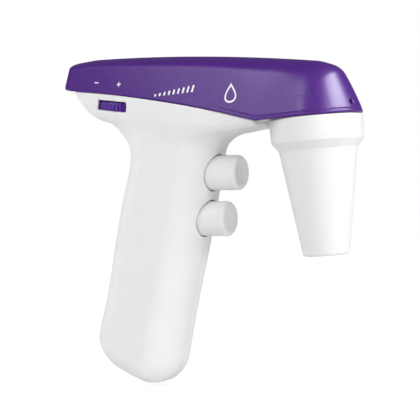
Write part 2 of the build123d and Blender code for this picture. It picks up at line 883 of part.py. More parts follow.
def make_crank():
    pin_z = motor_axis_z - eccentric
    with BuildPart() as eccentric_hub:
        add(along_x(3.9, rod_x - 4.4, rod_x - 2.6))
        add(along_x(3.0, rod_x - 2.6, rod_x + 2.4, pin_z))
        add(along_x(motor_shaft_r, rod_x - 5, rod_x + 5), mode=Mode.SUBTRACT)
    save(eccentric_hub, "eccentric_hub")
    with BuildPart() as rod_bearing:
        add(along_x(4.0, rod_x - 2, rod_x + 2, pin_z))
        add(along_x(3.0 + running, rod_x - 2, rod_x + 2, pin_z), mode=Mode.SUBTRACT)
    save(rod_bearing, "rod_bearing")
    foot_z = pump_levels[3] + 0.6
    with BuildPart() as connecting_rod:
        add(along_x(5.0, rod_x - 2, rod_x + 2, pin_z))
        with BuildSketch(Plane.XY.offset(foot_z)):
            with Locations((rod_x, 0)):
                Rectangle(4, 3.4)
        extrude(amount=pin_z - foot_z)
        add(drill([(rod_x, 0)], 5.0, foot_z, foot_z + 0.8))
        add(along_x(4.0, rod_x - 2, rod_x + 2, pin_z), mode=Mode.SUBTRACT)
    save(connecting_rod, "connecting_rod")


# ---- motor --------------------------------------------------------------------------
def turned_on_motor(points):
    """Solid of revolution about the motor's axis, from corners (x, radius)."""
    with BuildPart() as part:
        with BuildSketch(Plane.XZ):
            with BuildLine():
                Polyline(*[(x, motor_axis_z + r) for x, r in points], close=True)
            make_face()
        revolve(axis=Axis((0, 0, motor_axis_z), (1, 0, 0)))
    return part.part


def make_motor():
    front, rear = pump_x[0], motor_rear_x
    bore = motor_r - 0.8
    can = [(rear, bore), (rear, motor_r), (front, motor_r), (front, 3), (front + 1, 3)]
    can += [(front + 1, 2.2), (front - 1, 2.2), (front - 1, bore)]
    with BuildPart() as motor_can:
        add(turned_on_motor(can))
        for side in (-1, 1):
            hole = along_x(1.05, front - 1, front, motor_axis_z, side * motor_screw_y)
            add(hole, mode=Mode.SUBTRACT)
    save(motor_can, "motor_can")
    cap = [(rear - 2, 2.2), (rear - 2, motor_r - 0.4), (rear, motor_r - 0.4)]
    cap += [(rear, bore - running), (rear + 1.5, bore - running), (rear + 1.5, 2.2)]
    with BuildPart() as motor_end_cap:
        add(turned_on_motor(cap))
    save(motor_end_cap, "motor_end_cap")
    with BuildPart() as motor_bushes:
        for low, high in ((front - 1, front + 0.9), (rear - 1.9, rear + 1.4)):
            hole = motor_shaft_r + running
            add(turned_on_motor([(low, hole), (low, 2.2), (high, 2.2), (high, hole)]))
    save(motor_bushes, "motor_bushes")
    with BuildPart() as motor_shaft:
        add(along_x(motor_shaft_r, rear - 2.2, rod_x + 2.6))
    save(motor_shaft, "motor_shaft")
    with BuildPart() as motor_rotor:
        add(along_x(6.2, rear + 5, front - 6))
        slots = PolarLocations(6.2, 5)
        with BuildSketch(Plane.YZ.offset(rear + 5)):
            with Locations((0, motor_axis_z)):
                with slots:
                    Rectangle(3.4, 1.0)
        extrude(amount=front - rear, mode=Mode.SUBTRACT)
        add(along_x(motor_shaft_r, rear, front), mode=Mode.SUBTRACT)
    save(motor_rotor, "motor_rotor")
    with BuildPart() as motor_magnets:
        with BuildSketch(Plane.YZ.offset(rear + 4)):
            with Locations((0, motor_axis_z)):
                Circle(bore)
                Circle(6.7, mode=Mode.SUBTRACT)
                Rectangle(20, 5, mode=Mode.SUBTRACT)
        extrude(amount=front - rear - 9)
    save(motor_magnets, "motor_magnets")
    with BuildPart() as motor_sleeve:
        add(along_x(motor_r + 0.8, rear + 6, front - 7))
        add(along_x(motor_r, rear + 6, front - 7), mode=Mode.SUBTRACT)
    save(motor_sleeve, "motor_sleeve")
    with BuildPart() as motor_saddles:
        with BuildSketch(Plane.XY.offset(9.8)):
            with Locations((-66, 12.7), (-66, -12.7)):
                Rectangle(8, 4.2)
        extrude(amount=motor_axis_z - 9.8)
        with BuildSketch(Plane.XY.offset(9.8)):
            with Locations((-66, 11), (-66, -11)):
                Rectangle(8, 5)
        extrude(amount=3.5)
        add(along_x(motor_r + 0.8, -72, -60), mode=Mode.SUBTRACT)
    save(motor_saddles, "motor_saddles")
    with BuildPart() as motor_screws:
        for side in (-1, 1):
            y = side * motor_screw_y
            add(along_x(1.0, front - 2, front + 1.6, motor_axis_z, y))
            add(along_x(1.4, front + 1.6, front + 2.6, motor_axis_z, y))
    save(motor_screws, "motor_screws")


# ---- speed wheel and electronics ----------------------------------------------------
def make_speed_wheel():
    valley_r = wheel_r - wheel_rib_r
    with BuildPart() as speed_wheel:
        with BuildSketch(wheel_plane(-wheel_thick / 2)):
            Circle(valley_r)
            with PolarLocations(valley_r, wheel_ribs):
                Circle(wheel_rib_r)
        extrude(amount=wheel_thick)
        with BuildSketch(wheel_plane(wheel_thick / 2 - 1.2)):
            Circle(wheel_r - 3.4)
            Circle(4.5, mode=Mode.SUBTRACT)
        extrude(amount=1.3, mode=Mode.SUBTRACT)
        with BuildSketch(wheel_plane(-wheel_thick / 2)):
            Circle(pot_shaft_r)
        extrude(amount=wheel_thick, mode=Mode.SUBTRACT)
    save(speed_wheel, "speed_wheel")
    with BuildPart() as potentiometer_shaft:
        with BuildSketch(wheel_plane(-wheel_thick / 2)):
            Circle(pot_shaft_r)
        extrude(amount=wheel_thick / 2 + board_low - 0.6)
    save(potentiometer_shaft, "potentiometer_shaft")
    with BuildPart() as potentiometer:
        with BuildSketch(wheel_plane(wheel_thick / 2 + 0.8)):
            RectangleRounded(12, 12, 1)
        extrude(amount=board_low - wheel_thick / 2 - 0.8)
        with BuildSketch(wheel_plane(wheel_thick / 2 + 0.8)):
            Circle(pot_shaft_r + running)
        extrude(amount=board_low - wheel_thick / 2 - 1.3, mode=Mode.SUBTRACT)
    save(potentiometer, "potentiometer")


def make_electronics():
    board_high = board_low + board_thick
    outline = [(-28.5, -6), (-20, -11.5), (14.4, -12), (14.4, 12), (-20, 11.5), (-28.5, 6)]
    with BuildPart() as circuit_board:
        with BuildSketch(wheel_plane(board_low)):
            with BuildLine():
                Polyline(*outline, close=True)
            make_face()
        extrude(amount=board_high - board_low)
    save(circuit_board, "circuit_board")
    with BuildPart() as board_components:
        for x, y, long, wide, high in board_parts:
            with BuildSketch(wheel_plane(board_high)):
                with Locations((x, y)):
                    Rectangle(long, wide)
            extrude(amount=high)
    save(board_components, "board_components")
    with BuildPart() as charge_socket:
        with BuildSketch(wheel_plane(board_high)):
            with Locations((socket_mouth + 4, 0)):
                Rectangle(8, 9)
        extrude(amount=3.2)
        # slot of the socket with its tongue
        with BuildSketch(wheel_plane(board_high + 0.5)):
            with Locations((socket_mouth + 2, 0)):
                Rectangle(5, 8)
        extrude(amount=2.2, mode=Mode.SUBTRACT)
        with BuildSketch(wheel_plane(board_high + 1.3)):
            with Locations((socket_mouth + 3.5, 0)):
                Rectangle(4, 6.6)
        extrude(amount=0.7)
    save(charge_socket, "charge_socket")
    with BuildPart() as status_led:
        add(along_x(status_hole_r - 0.08, 15, 18.9, status_z, status_y))
        add(along_x(1.4, 13.6, 15, status_z, status_y))
    save(status_led, "status_led")
    with BuildPart() as status_lead:
        with BuildLine() as path:
            FilletPolyline(
                (13.5, status_y, status_z),
                (9, status_y, status_z + 1),
                (2, 0, 21),
                (-29, 0, 27.5),
                (-58, 0, 28.9),
                (-80.6, 0, 28.9),
                (-84.4, 0, 22.9),
                radius=2,
            )
        with BuildSketch(Plane(origin=path.line @ 0, z_dir=path.line % 0)):
            Circle(lead_r)
        sweep()
    save(status_lead, "status_lead")


def make_motor_leads():
    with BuildPart() as motor_leads:
        for side in (-1, 1):
            with BuildLine() as path:
                FilletPolyline(
                    (motor_rear_x - 2, side * 5.5, 14),
                    (motor_rear_x - 3.3, side * 5.5, 14),
                    (motor_rear_x - 3.3, side * 5.5, 24.2),
                    (-83.6, side * 5.5, 24.2),
                    (-83.6, side * 5.5, 22.1),
                    radius=0.8,
                )
            with BuildSketch(Plane(origin=path.line @ 0, z_dir=path.line % 0)):
                Circle(lead_r)
            sweep(path=path.line)
    save(motor_leads, "motor_leads")


# ---- battery ------------------------------------------------------------------------
def make_battery():
    sides = [(0, -cell_side), (0, cell_side)]
    with BuildPart() as battery_cells:
        with BuildSketch(cell_plane(cell_long)):
            with Locations(*sides):
                Circle(cell_r)
        extrude(amount=cell_long)
        fillet(battery_cells.edges().filter_by(GeomType.CIRCLE), 0.5)
        with BuildSketch(cell_plane()):
            with Locations(*sides):
                Circle(2.6)
        extrude(amount=0.9)
    save(battery_cells, "battery_cells")
    with BuildPart() as battery_contacts:
        with BuildSketch(cell_plane(-0.9)):
            with Locations(*sides):
                Rectangle(9, 9)
        extrude(amount=0.4)
        with BuildSketch(cell_plane(cell_long + 0.5)):
            Rectangle(9, 24)
        extrude(amount=0.4)
    save(battery_contacts, "battery_contacts")
    # open-fronted tray: inner faces behind, beside and before the cells
    back, side, front = cell_r + 0.15, 2 * cell_r + 0.1, 8.5
    side_wall, back_wall = 0.45, 1.3
    with BuildPart() as battery_cradle:
        with BuildSketch(cell_plane(cell_long + 1.5)):
            with Locations(((front - back - back_wall) / 2, 0)):
                RectangleRounded(front + back + back_wall, 2 * (side + side_wall), 5)
        extrude(amount=cell_long + 4.2)
        with BuildSketch(cell_plane(cell_long + 0.6)):
            with Locations(((front - back + 5) / 2, 0)):
                RectangleRounded(front + back + 5, 2 * side, 4.6)
        extrude(amount=cell_long + 2.1, mode=Mode.SUBTRACT)
    save(battery_cradle, "battery_cradle")
    with BuildPart() as battery_leads:
        for side in (-1, 1):
            with BuildLine() as path:
                FilletPolyline(
                    (-89.8, side * 9, -50),
                    (-88.4, side * 9, -48.8),
                    (-88.4, side * 12.3, -47),
                    (-81.6, side * 12.3, -40),
                    (-81.6, side * 12.3, 12),
                    (-81.4, side * 11.2, 17),
                    (-82.2, side * 10.8, 19.6),
                    radius=0.9,
                )
            with BuildSketch(Plane(origin=path.line @ 0, z_dir=path.line % 0)):
                Circle(lead_r)
            sweep(path=path.line)
    save(battery_leads, "battery_leads")


make_top_cover()
make_shells()
make_housing_screws()
make_adapter_housing()
make_nose_spigot()
make_nose_o_ring()
make_filter()
make_pipette_adapter()
make_check_valve()
make_buttons()
make_valve_block()
make_switch_board()
make_hoses()
make_pump()
make_crank()
make_motor()
make_speed_wheel()
make_electronics()
make_motor_leads()
make_battery()
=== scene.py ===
import math

import bmesh
import bpy
import numpy as np
from mathutils import Matrix, Vector
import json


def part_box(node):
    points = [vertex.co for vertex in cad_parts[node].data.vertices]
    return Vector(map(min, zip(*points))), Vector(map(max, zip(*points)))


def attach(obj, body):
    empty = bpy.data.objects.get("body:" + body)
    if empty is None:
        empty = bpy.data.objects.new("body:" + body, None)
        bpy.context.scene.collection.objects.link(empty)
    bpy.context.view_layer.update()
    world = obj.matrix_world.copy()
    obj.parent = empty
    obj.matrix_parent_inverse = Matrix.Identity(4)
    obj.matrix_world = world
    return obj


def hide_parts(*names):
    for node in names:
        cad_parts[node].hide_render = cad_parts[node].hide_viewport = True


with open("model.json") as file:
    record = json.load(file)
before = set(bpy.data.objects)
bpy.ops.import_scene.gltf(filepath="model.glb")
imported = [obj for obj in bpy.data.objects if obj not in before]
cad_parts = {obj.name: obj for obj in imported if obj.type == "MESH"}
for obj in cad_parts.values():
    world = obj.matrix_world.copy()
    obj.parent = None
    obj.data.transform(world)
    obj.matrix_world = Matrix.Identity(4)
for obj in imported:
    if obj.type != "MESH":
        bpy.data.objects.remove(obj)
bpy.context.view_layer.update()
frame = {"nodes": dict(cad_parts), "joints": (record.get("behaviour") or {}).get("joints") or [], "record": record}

# Shapes are worked out in millimetres from the nose seat, where the nose cone's collar
# meets the cover, and are turned into metres in the frame when a mesh is made.
MM = 0.001
joints = {joint["name"]: joint for joint in frame["joints"]}
SEAT_AT = np.array(joints["cone_unscrew"]["pos_m"])

RIGHT, LEFT = -1, 1  # sides of the parting plane Y = 0
WALL = 2.0
SEAM_GAP = 0.025  # of each shell from the parting plane
SEAM_ROUND = 0.10
COVER_GAP = 0.1  # between the shells' top edge and the parting line
CUT_ROUND = 0.45  # rounding of the edges round the bores


def unit(v):
    v = np.asarray(v, float)
    return v / np.linalg.norm(v)


def from_seat(metres):
    return (np.asarray(metres, float) - SEAT_AT) / MM


def in_frame(points):
    return np.asarray(points, float) * MM + SEAT_AT


def node_points(name):
    """Vertices of a CAD node, in millimetres from the nose seat."""
    return from_seat([v.co for v in frame["nodes"][name].data.vertices])


def node_box(name):
    """Lowest and highest corner of a CAD node, in millimetres from the nose seat."""
    low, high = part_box(name)
    return from_seat(low), from_seat(high)


# ---- fields: negative inside, and close to a distance in millimetres ----------------
def round_max(a, b, radius):
    """Intersection with a rounded edge."""
    outer = np.hypot(np.maximum(a + radius, 0), np.maximum(b + radius, 0))
    return np.minimum(np.maximum(a, b), -radius) + outer


def round_min(a, b, radius):
    """Union with a filleted corner."""
    inner = np.hypot(np.maximum(radius - a, 0), np.maximum(radius - b, 0))
    return np.maximum(np.minimum(a, b), radius) - inner


def curve(points):
    """Smooth curve through a few (place, value) points, carried on straight at its ends."""
    places = np.array([p[0] for p in points], float)
    values = np.array([p[1] for p in points], float)
    order = np.argsort(places)
    places, values = places[order], values[order]
    slopes = np.gradient(values, places)

    def at(t):
        t = np.asarray(t, float)
        i = np.clip(np.searchsorted(places, t) - 1, 0, len(places) - 2)
        span = places[i + 1] - places[i]
        u = (t - places[i]) / span
        inside = np.clip(u, 0, 1)
        a, b = values[i], values[i + 1]
        da, db = slopes[i] * span, slopes[i + 1] * span
        cubic = a + inside * (da + inside * (3 * (b - a) - 2 * da - db))
        cubic = cubic + inside**3 * (2 * (a - b) + da + db)
        return cubic + np.where(u < 0, u * da, 0) + np.where(u > 1, (u - 1) * db, 0)

    return at


def slope(function, t, step=0.5):
    return (function(t + step) - function(t - step)) / (2 * step)


def ease(t, start, end):
    """Smooth change from 0 to 1 between two places."""
    share = np.clip((t - start) / (end - start), 0, 1)
    return share * share * (3 - 2 * share)


def past(t, start, soft):
    """How far t is past a start, growing gently from zero there."""
    return np.hypot(np.maximum(t - start, 0), soft) - soft


def arc_height(start, middle, end):
    """Height of the circle arc through three (x, z) points, as a function of x."""
    (x1, z1), (x2, z2), (x3, z3) = start, middle, end
    system = np.array([[x2 - x1, z2 - z1], [x3 - x2, z3 - z2]], float)
    right = 0.5 * np.array([x2**2 - x1**2 + z2**2 - z1**2, x3**2 - x2**2 + z3**2 - z2**2])
    cx, cz = np.linalg.solve(system, right)
    radius = math.hypot(x1 - cx, z1 - cz)
    sign = 1 if z2 > cz else -1
    return lambda x: cz + sign * np.sqrt(np.maximum(radius**2 - (x - cx) ** 2, 1e-6))


# ---- shape of the object ------------------------------------------------------------
ARC_END = (-21.5, 0.6)
parting_arc = arc_height((-130, 25.6), (-76.5, 15.5), ARC_END)
SEAT_GAP = 0.15  # height of the cover's underside around the nose
SEAT_RAMP = 2.0
LINE_LEAN = 0.97  # cosine of the line's slope


def parting(x):
    """Height of the line where the cover meets the white body."""
    end_x, end_z = ARC_END
    ramp = end_z + (SEAT_GAP - end_z) * np.clip((x - end_x) / SEAT_RAMP, 0, 1)
    return np.where(x < end_x, parting_arc(x), ramp)


def crest(x):
    """Height of the cover along its middle, which falls away at the rear and over the nose."""
    run = x + 57.9
    back_drop = 0.09 * past(-x, 113.5, 1.5)
    nose_drop = 0.25 * past(x, 3, 3)
    return 34.5 - 0.12 * run - 0.00052 * run**2 - back_drop - nose_drop


grip_rear = curve(
    [(14, -107), (3.1, -103.2), (-3, -98.7), (-8, -97.4), (-14, -98.2), (-30.7, -103.9)]
    + [(-48.3, -109.2), (-65, -113.9), (-79, -118.1), (-93, -123.4), (-100, -125.2)]
    + [(-108, -125.8)]
)
grip_front = curve(
    [(5, -46.6), (-12.3, -51.2), (-29.5, -56.1), (-54, -63.5), (-82.5, -72.8), (-109, -80.6)]
)
grip_half = curve([(10, 17.64), (-10, 17.85), (-50, 18.48), (-95, 18.48), (-112, 17.85)])
GRIP_POWER = 2.5  # of the superellipse that a level cut through the grip follows
GRIP_LEAN = 0.965  # cosine of the grip's lean, which makes level distances true ones
FLANK_SHARE = 0.945  # of the half-width, where the flat flank cuts the superellipse
FLANK_ROUND = 0.35
BUTT_REAR = (-109.5, -114.6)  # a point on the butt's slope up to the rear
BUTT_LOW = (-96, -121.7)  # lowest point of the butt
BUTT_ROUND = 10.0

barrel_half = curve([(-22.6, 19.6), (-45, 19.5), (-76, 18.2), (-98, 17.0), (-124.3, 15.2)])
barrel_under = curve(
    [(-130, 31), (-125.6, 25), (-121.5, 19.6), (-116.6, 13.7), (-111.6, 10.0), (-106, 7.7)]
    + [(-92, 4.8), (-75, 2.2), (-60, -0.8), (-46, -3.4), (-34, -2.6), (-23.4, -2.1)]
)
WEB_END = -22.6
STERN = -127.0

# half-widths of the cover's walls at the seat's height and, carried on, at HULL_TOP
HULL_TOP = 45.0
hull_low = curve([(0, 21.8), (-38, 21.7), (-76, 21.7), (-110, 20.0), (-137, 17.4)])
hull_high = curve(
    [(8, 5.6), (0, 5.6), (-8, 5.9), (-30, 8.4), (-60, 10.4), (-90, 11.8), (-120, 12.4)]
)
REAR_LOW, REAR_LEAN, REAR_ROUND = -137.3, 0.30, 4.0
crown_r = curve([(-140, 29), (-60, 24), (0, 19.6), (26, 19.3)])
COVER_EDGE, NOSE_EDGE = 0.9, 2.2  # rounding between walls and crown


def grip_field(x, y, z):
    """The grip, with flat flanks and a slanted, rounded butt."""
    middle = (grip_rear(z) + grip_front(z)) / 2
    depth = (grip_front(z) - grip_rear(z)) / 2
    half = grip_half(z)
    u, v = np.abs(x - middle) / depth, np.abs(y) / half
    size = np.maximum((u**GRIP_POWER + v**GRIP_POWER) ** (1 / GRIP_POWER), 1e-3)
    reach = np.hypot(x - middle, y)
    side = reach * (1 - 1 / size) * GRIP_LEAN
    side = np.where(size < 0.05, -GRIP_LEAN * half, side)
    side = round_max(side, np.abs(y) - FLANK_SHARE * half, FLANK_ROUND)
    slant = math.radians(30)
    butt = -math.sin(slant) * (x - BUTT_REAR[0]) - math.cos(slant) * (z - BUTT_REAR[1])
    base = -(z - BUTT_LOW[1]) * 0.98 + 0.12 * np.abs(x - BUTT_LOW[0])
    butt = round_max(butt, base, 6)
    return round_max(side, butt, BUTT_ROUND)


def barrel_field(x, y, z):
    """The white body under the cover, from the stern to the web behind the nose."""
    side = np.abs(y) - barrel_half(x)
    tip = slope(barrel_under, x)
    under = (barrel_under(x) - z) / np.sqrt(1 + tip**2)
    side = round_max(side, STERN - x, 7)
    body = round_max(side, under, 5.5)
    return round_max(body, x - WEB_END, 1.2)


def body_outside(x, y, z):
    fillet = 4 + 5 * ease(x, -85, -65)  # wider at the grip's front
    return round_min(grip_field(x, y, z), barrel_field(x, y, z), fillet)


def wall_half(x, z):
    """Half-width of the cover's leaning wall, which bows a little at the nose."""
    straight = hull_low(x) + (hull_high(x) - hull_low(x)) * z / HULL_TOP
    return straight + ease(x, -24, 0) * (0.065 * z - 0.0046 * z**2)


def wall_field(x, y, z):
    """Leaning side, nose and rear walls of the cover."""
    lean = (hull_low(x) - hull_high(x)) / HULL_TOP
    around = np.hypot(np.maximum(x, 0), y)
    wall = (around - wall_half(np.minimum(x, 0), z)) / np.sqrt(1 + lean**2)
    rear = (REAR_LOW + REAR_LEAN * z - x) / math.hypot(1, REAR_LEAN)
    return round_max(wall, rear, REAR_ROUND)


def crown_field(x, y, z):
    """The cover's top, a round arch across with its crown on the crest."""
    radius = crown_r(x)
    inner = radius**2 - np.minimum(np.abs(y), 0.93 * radius) ** 2
    sag = radius - np.sqrt(inner)
    return (z - (crest(x) - sag)) * np.sqrt(inner) / radius


def cover_outside(x, y, z):
    walls, crown = wall_field(x, y, z), crown_field(x, y, z)
    crisp = round_max(walls, crown, COVER_EDGE)
    soft = round_max(walls, crown, NOSE_EDGE)
    return crisp + (soft - crisp) * ease(x, -14, 8)


def cylinder_field(x, y, z, origin, axis, radius):
    """Field of an endless cylinder, and the place along its axis."""
    px, py, pz = x - origin[0], y - origin[1], z - origin[2]
    along = px * axis[0] + py * axis[1] + pz * axis[2]
    across = np.sqrt(np.maximum(px**2 + py**2 + pz**2 - along**2, 0))
    return across - radius, along


def box_field(x, y, z, origin, axes, half, rounding):
    """Field of a turned box with rounded edges."""
    px, py, pz = x - origin[0], y - origin[1], z - origin[2]
    distance = None
    for axis, size in zip(axes, half):
        part = np.abs(px * axis[0] + py * axis[1] + pz * axis[2]) - size
        distance = part if distance is None else round_max(distance, part, rounding)
    return distance


# ---- buttons, wheel and screws, from the frame --------------------------------------
outward = -unit(joints["aspirate_press"]["axis"])
FLANGE = 1.2  # of a button, which keeps it in its bore


def button_face(name):
    """Centre of a button's end face, the button's radius, and its length behind the face."""
    points = node_points(name)
    radius = (points[:, 1].max() - points[:, 1].min()) / 2 - FLANGE
    reach = points @ outward
    rim = points[reach > reach.max() - 0.6]
    centre = (rim.min(0) + rim.max(0)) / 2
    centre = centre + outward * (reach.max() - centre @ outward)
    return centre, radius, reach.max() - reach.min()


faces = {name: button_face(name) for name in ("aspirate_button", "dispense_button")}
BORE_GAP, BORE_LONG, BORE_WALL = 0.5, 26, 2.1

dial = joints["speed_turn"]
dial_centre = from_seat(dial["pos_m"])
dial_axis = unit(dial["axis"])
dial_forward = unit(np.cross([0, 1, 0], dial_axis))
WINDOW = np.array([8.7, 30.0, 2.35])  # half sizes, through both shells
window_centre = dial_centre - 1.8 * dial_forward
WINDOW_LIP = 0.4  # thickness left round the window, over the wheel's pocket
dial_low, dial_high = node_box("speed_wheel")
DIAL_R = (dial_high[1] - dial_low[1]) / 2
screw_points = [(-104.5, -56), (-79.5, -80), (-99.5, -115), (-57.5, -8), (-93.5, -3)]
HEAD_R, HEAD_Y, BOSS_R = 2.8, 8.0, 3.2  # screw pockets in the left shell
NECK_R, FLOOR_R = 13.1, 16.9  # web round the nose spigot, level with the seat
FLOOR_MIDDLE, FLOOR_HALF = 2.4, 2.1


def shell_field(side):
    """Field of one housing shell; side is LEFT or RIGHT of the parting plane."""

    def field(x, y, z):
        outside = body_outside(x, y, z)
        solid = round_max(outside, -(outside + WALL), 0.1)
        for face, radius, length in faces.values():
            across, along = cylinder_field(x, y, z, face, outward, radius)
            tube = np.maximum(across - BORE_WALL, np.maximum(FLANGE - along - length, outside))
            solid = np.minimum(solid, tube)
        for sx, sz in screw_points:
            boss = np.maximum(np.hypot(x - sx, z - sz) - BOSS_R, outside)
            solid = np.minimum(solid, boss)
        top = (z - parting(x) + COVER_GAP) * LINE_LEAN
        solid = round_max(solid, top, 0.7)
        level = np.abs(z - FLOOR_MIDDLE) - FLOOR_HALF
        web = np.maximum(np.abs(x + 14) - 10.5, np.abs(y) - 13)
        web = np.minimum(web, np.hypot(x, y) - FLOOR_R)
        web = np.maximum(np.maximum(web, level), NECK_R - np.hypot(x, y))
        solid = np.minimum(solid, web)
        for face, radius, length in faces.values():
            across, along = cylinder_field(x, y, z, face, outward, radius + BORE_GAP)
            bore = np.maximum(across, -along - BORE_LONG)
            solid = round_max(solid, -bore, CUT_ROUND)
        axes = (dial_forward, np.array([0, 1, 0]), dial_axis)
        window = box_field(x, y, z, window_centre, axes, WINDOW, 0.25)
        solid = round_max(solid, -window, 0.22)
        across, along = cylinder_field(x, y, z, dial_centre, dial_axis, DIAL_R + 0.35)
        pocket = np.maximum(across, np.abs(along) - WINDOW[2])
        solid = np.maximum(solid, -np.maximum(pocket, outside + WINDOW_LIP))
        if side == LEFT:
            for sx, sz in screw_points:
                pocket = np.maximum(np.hypot(x - sx, z - sz) - HEAD_R, HEAD_Y - y)
                solid = round_max(solid, -pocket, 0.3)
        return round_max(solid, -side * y + SEAM_GAP, SEAM_ROUND)

    return field


status_low, status_high = node_box("status_led")
status_at = (status_low + status_high) / 2
STATUS_R = 1.15
socket_low, socket_high = node_box("charge_socket")
socket_centre = (socket_low + socket_high) / 2
SOCKET_SLOT = (9.0, 4.8, 1.9)  # half sizes of the opening in the cover's rear
LIP_UP, LIP_DEEP, LIP_WIDE = 1.7, 0.22, 0.32


def cover_field(x, y, z):
    """Field of the hollow cover, with the status window and the charging slot."""
    outside = cover_outside(x, y, z)
    above = z - parting(x)
    # a fine groove runs round the nose just above the cover's lower edge
    groove = np.clip((x + 45) / 15, 0, 1) * LIP_DEEP
    outside = outside + groove * np.exp(-(((above - LIP_UP) / LIP_WIDE) ** 2))
    solid = round_max(outside, -(outside + WALL), 0.1)
    # rounding of the lower edge, larger at the nose and at the rear
    edge = 0.55 + 0.6 * ease(x, -28, 4) + 1.4 * ease(-x, 121, 128)
    solid = round_max(solid, -above * LINE_LEAN, edge)
    across = np.hypot(y - status_at[1], z - status_at[2]) - STATUS_R
    solid = round_max(solid, -np.maximum(across, 10 - x), 0.25)
    axes = (-dial_forward, np.array([0, 1, 0]), dial_axis)
    slot = box_field(x, y, z, socket_centre, axes, SOCKET_SLOT, 1.2)
    return round_max(solid, -slot, 0.3)


# ---- meshing ------------------------------------------------------------------------
PAD = 2.0  # room left round a node's box
CHUNK = 200000  # points worked out at a time
SETTLE = 5  # moves of the vertices onto the surface


def gradient(field, points, step=0.03):
    out = np.empty_like(points)
    for axis in range(3):
        ahead, behind = points.copy(), points.copy()
        ahead[:, axis] += step
        behind[:, axis] -= step
        out[:, axis] = (field(*ahead.T) - field(*behind.T)) / (2 * step)
    return out


def sample(field, low, high, step, coarse=4):
    """Grid of field values, worked out finely only near the surface."""
    low, high = np.asarray(low, float), np.asarray(high, float)
    big = step * coarse
    blocks = np.ceil((high - low) / big).astype(int)
    places = [low[i] + big * (np.arange(blocks[i]) + 0.5) for i in range(3)]
    middle = field(*np.meshgrid(*places, indexing="ij"))
    near = np.abs(middle) < big * 1.6
    grid = middle
    for axis in range(3):
        grid, near = np.repeat(grid, coarse, axis), np.repeat(near, coarse, axis)
    index = np.argwhere(near)
    points = low + step * index
    values = np.empty(len(points))
    for start in range(0, len(points), CHUNK):
        values[start : start + CHUNK] = field(*points[start : start + CHUNK].T)
    grid[tuple(index.T)] = values
    return grid, low


def surface_net(grid, low, step):
    """Quads round the zero of a grid of values, one vertex for each crossed cell."""
    inside = grid < 0
    n = np.array(grid.shape)
    # cells with corners on both sides of the surface
    count = np.zeros(n - 1, int)
    offsets = [(i, j, k) for i in (0, 1) for j in (0, 1) for k in (0, 1)]
    for i, j, k in offsets:
        count += inside[i : n[0] - 1 + i, j : n[1] - 1 + j, k : n[2] - 1 + k]
    active = (count > 0) & (count < 8)
    cells = np.argwhere(active)
    number = np.full(n - 1, -1)
    number[active] = np.arange(len(cells))
    # each cell's vertex is the mean of the points where its edges cross the surface
    total, hits = np.zeros((len(cells), 3)), np.zeros(len(cells))
    for axis in range(3):
        for start in offsets:
            if start[axis]:
                continue
            end = np.array(start)
            end[axis] = 1
            a = grid[tuple((cells + start).T)]
            b = grid[tuple((cells + end).T)]
            crossed = (a < 0) != (b < 0)
            t = np.where(crossed, a / np.where(crossed, a - b, 1), 0)
            point = np.tile(np.array(start, float), (len(cells), 1))
            point[:, axis] = t
            total += point * crossed[:, None]
            hits += crossed
    points = low + step * (cells + total / hits[:, None])
    # each crossed grid edge gives a quad between the four cells round it
    quads = []
    for axis in range(3):
        u, v = (axis + 1) % 3, (axis + 2) % 3
        lower = [slice(None)] * 3
        upper = [slice(None)] * 3
        lower[axis], upper[axis] = slice(0, -1), slice(1, None)
        changed = inside[tuple(lower)] != inside[tuple(upper)]
        edges = np.argwhere(changed)
        keep = (edges[:, u] > 0) & (edges[:, v] > 0)
        keep &= (edges[:, u] < n[u] - 1) & (edges[:, v] < n[v] - 1)
        edges = edges[keep]
        ring = []
        for du, dv in ((1, 1), (0, 1), (0, 0), (1, 0)):
            cell = edges.copy()
            cell[:, u] -= du
            cell[:, v] -= dv
            ring.append(number[tuple(cell.T)])
        ring = np.stack(ring, 1)
        flip = ~inside[tuple(edges.T)]
        ring[flip] = ring[flip][:, ::-1]
        quads.append(ring)
    return points, np.concatenate(quads)


def link(name, mesh):
    obj = bpy.data.objects.new(name, mesh)
    bpy.context.scene.collection.objects.link(obj)
    return obj


def field_object(name, field, node, step):
    """Mesh of a field's surface round a CAD node, with the field's own normals."""
    low, high = node_box(node)
    grid, corner = sample(field, low - PAD, high + PAD, step)
    points, quads = surface_net(grid, corner, step)
    for _ in range(SETTLE):
        slopes = gradient(field, points)
        size = np.maximum((slopes**2).sum(1), 0.05)
        move = -(field(*points.T) / size)[:, None] * slopes
        length = np.linalg.norm(move, axis=1)
        points = points + move * np.minimum(1, 0.5 * step / np.maximum(length, 1e-9))[:, None]
    normals = gradient(field, points)
    normals /= np.maximum(np.linalg.norm(normals, axis=1), 1e-9)[:, None]
    mesh = bpy.data.meshes.new(name)
    mesh.from_pydata(in_frame(points).tolist(), [], quads.tolist())
    mesh.validate()
    mesh.shade_smooth()
    mesh.normals_split_custom_set_from_vertices(normals.tolist())
    return link(name, mesh)


def polygon_mesh(name, points, polygons):
    """Closed mesh of millimetre points, with its faces turned outwards."""
    mesh = bpy.data.meshes.new(name)
    mesh.from_pydata(in_frame(points).tolist(), [], polygons)
    work = bmesh.new()
    work.from_mesh(mesh)
    bmesh.ops.recalc_face_normals(work, faces=work.faces[:])
    work.to_mesh(mesh)
    work.free()
    return mesh


